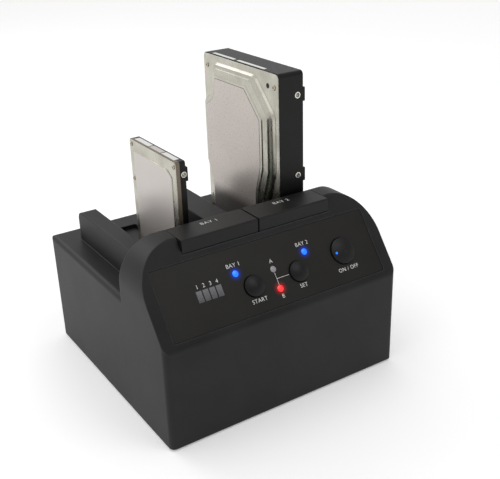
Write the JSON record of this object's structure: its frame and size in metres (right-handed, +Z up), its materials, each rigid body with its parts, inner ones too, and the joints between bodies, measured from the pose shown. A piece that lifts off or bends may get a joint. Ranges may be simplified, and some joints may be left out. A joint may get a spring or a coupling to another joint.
{
  "type": "drive duplicator",
  "caption": "Desktop drive duplicator: charcoal case with a sloped control panel, eject keys, spring flap and open bays that hold bare disk drives on end.",
  "frame": {"origin": "centre of the case's footprint at the underside of the feet", "axes": "+Z up, the control panel faces -Y, +X to the right seen from the front"},
  "size_m": [0.192, 0.188, 0.2185],
  "materials": {
    "case_plastic": "charcoal ABS with a fine moulded texture",
    "key_plastic": "charcoal ABS, smoother than the case",
    "flap_plastic": "charcoal ABS",
    "inner_plastic": "black ABS, unseen inside",
    "button_plastic": "soft black domed button",
    "panel_film": "printed polycarbonate film, fine matte",
    "level_lens": "grey diffuser",
    "blue_lamp": "lit blue light pipe",
    "red_lamp": "lit red light pipe",
    "grey_lamp": "unlit grey light pipe",
    "foot_rubber": "black rubber",
    "screw_steel": "black zinc",
    "pin_steel": "ground steel",
    "spring_steel": "spring wire",
    "board_green": "glass-fibre board, green solder mask",
    "switch_black": "switch body",
    "chip_black": "moulded chip",
    "chip_white": "light source",
    "socket_black": "glass-filled nylon",
    "port_metal": "folded, plated steel shell",
    "casting_black": "black-painted aluminium casting",
    "cover_steel": "pressed stainless steel lid",
    "drive_screw": "plated screw"
  },
  "bodies": {
    "case": {"upper_housing": "case_plastic", "base_plate": "case_plastic", "rubber_feet": "foot_rubber", "case_screws": "screw_steel", "control_film": "panel_film", "level_window": "level_lens", "bay_1_lamp": "blue_lamp", "bay_2_lamp": "blue_lamp", "link_lamp": "grey_lamp", "copy_lamp": "red_lamp", "control_board": "board_green", "panel_posts": "inner_plastic", "panel_switches": "switch_black", "lamp_chips": "chip_white", "key_frame": "inner_plastic", "key_springs_1": "spring_steel", "key_springs_2": "spring_steel", "rocker_pin_1": "pin_steel", "rocker_pin_2": "pin_steel", "bay_frame_1": "inner_plastic", "bay_frame_2": "inner_plastic", "flap_2": "flap_plastic", "flap_pin_1": "pin_steel", "flap_pin_2": "pin_steel", "flap_spring_1": "spring_steel", "flap_spring_2": "spring_steel", "drive_socket_1": "socket_black", "drive_socket_2": "socket_black", "socket_board": "board_green", "main_board": "board_green", "main_chips": "chip_black", "riser_board": "board_green", "riser_sockets": "socket_black", "board_screws": "screw_steel", "usb_port": "port_metal", "dc_jack": "socket_black"},
    "eject_key_1": {"eject_key_1": "key_plastic"},
    "eject_key_2": {"eject_key_2": "key_plastic"},
    "rocker_1": {"rocker_1": "inner_plastic"},
    "rocker_2": {"rocker_2": "inner_plastic"},
    "lifter_1": {"lifter_1": "inner_plastic"},
    "lifter_2": {"lifter_2": "inner_plastic"},
    "flap_1": {"flap_1": "flap_plastic"},
    "start_button": {"start_button": "button_plastic"},
    "set_button": {"set_button": "button_plastic"},
    "power_button": {"power_button": "button_plastic", "power_lamp": "blue_lamp"},
    "small_drive": {"small_drive_casting": "casting_black", "small_drive_cover": "cover_steel", "small_drive_board": "board_green", "small_drive_plug": "socket_black", "small_drive_screws": "drive_screw"},
    "large_drive": {"large_drive_casting": "casting_black", "large_drive_cover": "cover_steel", "large_drive_board": "board_green", "large_drive_plug": "socket_black", "large_drive_screws": "drive_screw"}
  },
  "joints": [
    {"name": "eject_key_1_press", "type": "slide", "parent": "case", "child": "eject_key_1", "axis": [0, 0, -1], "range_m": [0, 0.005], "stiffness_N_per_m": 900, "springref_m": -0.009, "deforming": ["key_springs_1"]},
    {"name": "rocker_1_turn", "type": "hinge", "parent": "case", "child": "rocker_1", "pos_m": [-0.0425, -0.04, 0.0665], "axis": [1, 0, 0], "range_deg": [0, 17.91]},
    {"name": "lifter_1_rise", "type": "slide", "parent": "case", "child": "lifter_1", "axis": [0, 0, 1], "range_m": [0, 0.00548]},
    {"name": "eject_key_2_press", "type": "slide", "parent": "case", "child": "eject_key_2", "axis": [0, 0, -1], "range_m": [0, 0.005], "stiffness_N_per_m": 900, "springref_m": -0.009, "deforming": ["key_springs_2"]},
    {"name": "rocker_2_turn", "type": "hinge", "parent": "case", "child": "rocker_2", "pos_m": [0.0535, -0.04, 0.0665], "axis": [1, 0, 0], "range_deg": [0, 17.91]},
    {"name": "lifter_2_rise", "type": "slide", "parent": "case", "child": "lifter_2", "axis": [0, 0, 1], "range_m": [0, 0.00548]},
    {"name": "small_drive_pull", "type": "slide", "parent": "lifter_1", "child": "small_drive", "axis": [0, 0, 1], "range_m": [0, 0.105]},
    {"name": "large_drive_pull", "type": "slide", "parent": "lifter_2", "child": "large_drive", "axis": [0, 0, 1], "range_m": [0, 0.15]},
    {"name": "flap_1_swing", "type": "hinge", "parent": "case", "child": "flap_1", "pos_m": [-0.0647, 0.016, 0.0852], "axis": [0, 1, 0], "range_deg": [0, 85], "stiffness_Nm_per_rad": 0.012, "springref_deg": -34.38},
    {"name": "start_button_press", "type": "slide", "parent": "case", "child": "start_button", "axis": [0, 0.8, -0.6], "range_m": [0, 0.001], "stiffness_N_per_m": 400, "springref_m": -0.001},
    {"name": "set_button_press", "type": "slide", "parent": "case", "child": "set_button", "axis": [0, 0.8, -0.6], "range_m": [0, 0.001], "stiffness_N_per_m": 400, "springref_m": -0.001},
    {"name": "power_button_press", "type": "slide", "parent": "case", "child": "power_button", "axis": [0, 0.8, -0.6], "range_m": [0, 0.001], "stiffness_N_per_m": 400, "springref_m": -0.001}
  ],
  "couplings": [
    {"joint": "rocker_1_turn", "follows": "eject_key_1_press", "rad_per_m": 62.5},
    {"joint": "lifter_1_rise", "follows": "eject_key_1_press", "ratio": 1.0938},
    {"joint": "rocker_2_turn", "follows": "eject_key_2_press", "rad_per_m": 62.5},
    {"joint": "lifter_2_rise", "follows": "eject_key_2_press", "ratio": 1.0938}
  ]
}
